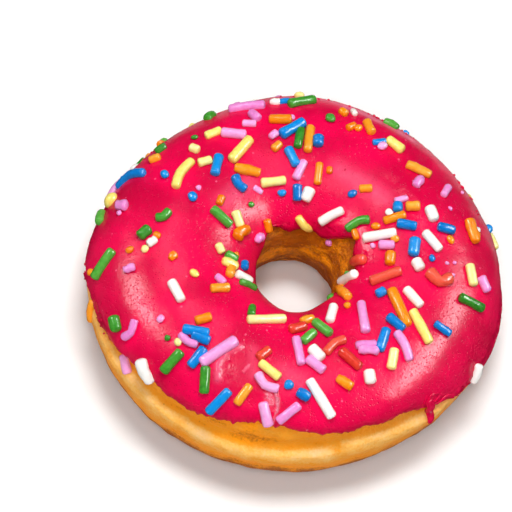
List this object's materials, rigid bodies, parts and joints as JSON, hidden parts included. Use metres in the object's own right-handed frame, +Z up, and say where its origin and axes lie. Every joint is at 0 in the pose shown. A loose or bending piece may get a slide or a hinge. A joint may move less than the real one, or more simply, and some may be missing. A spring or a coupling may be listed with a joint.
{
  "type": "sprinkle frosted ring doughnut",
  "caption": "Raised ring doughnut with a proof line round its golden side, crimson-pink icing over the top and coloured sprinkles.",
  "frame": {"origin": "on the resting face, under the middle of the ring's bounding box", "axes": "+Z up out of the iced top; -Y towards the side that shows the most bare dough"},
  "size_m": [0.0936, 0.093, 0.03],
  "materials": {
    "crust": "fried golden crust, satin, with finely wrinkled skin",
    "icing": "set fondant icing, soft gloss with fine grain",
    "sprinkle_white": "pressed sugar, satin",
    "sprinkle_pink": "pressed sugar, satin",
    "sprinkle_yellow": "pressed sugar, satin",
    "sprinkle_orange": "pressed sugar, satin",
    "sprinkle_red": "pressed sugar, satin",
    "sprinkle_green": "pressed sugar, satin",
    "sprinkle_blue": "pressed sugar, satin"
  },
  "bodies": {
    "root": {"dough_ring": "crust", "icing": "icing"}
  },
  "joints": []
}
